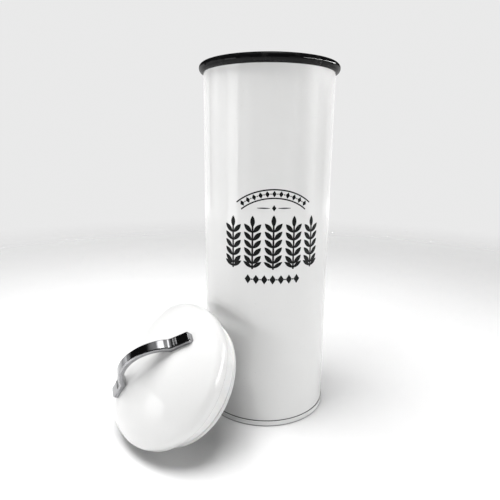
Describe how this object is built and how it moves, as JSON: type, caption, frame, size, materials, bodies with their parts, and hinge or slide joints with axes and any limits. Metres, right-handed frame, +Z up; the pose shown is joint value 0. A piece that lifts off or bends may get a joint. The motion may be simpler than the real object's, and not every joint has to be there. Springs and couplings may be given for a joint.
{
  "type": "food canister",
  "caption": "Tall round tinplate food canister with a black-rimmed open mouth, its domed lid with a bow handle taken off and leaning on the wall.",
  "frame": {"origin": "on the canister's axis, at the surface it stands on", "axes": "+Z up along the canister's axis, -Y the canister's front; the lid leans on the wall at the left front"},
  "size_m": [0.176, 0.1663, 0.2825],
  "materials": {
    "white_lacquer": "gloss",
    "black_trim": "high gloss",
    "bare_steel": "drawn wire",
    "polished_handle": "polished, dark nickel tone",
    "bright_fastener": "bright zinc",
    "seal_silicone": "satin silicone"
  },
  "bodies": {
    "canister": {"body_wall": "white_lacquer", "base_pan": "white_lacquer", "rim_wire": "bare_steel", "rim_trim": "black_trim"},
    "lid": {"lid_dome": "white_lacquer", "lid_collar": "white_lacquer", "lid_seal": "seal_silicone", "handle": "polished_handle", "handle_screw_low": "bright_fastener", "handle_screw_high": "bright_fastener", "washer_low": "bright_fastener", "washer_high": "bright_fastener"}
  },
  "joints": [
    {"name": "lid_lift", "type": "slide", "parent": "canister", "child": "lid", "axis": [-0.5616, -0.5795, 0.5906], "range_m": [0, 0.15]}
  ]
}
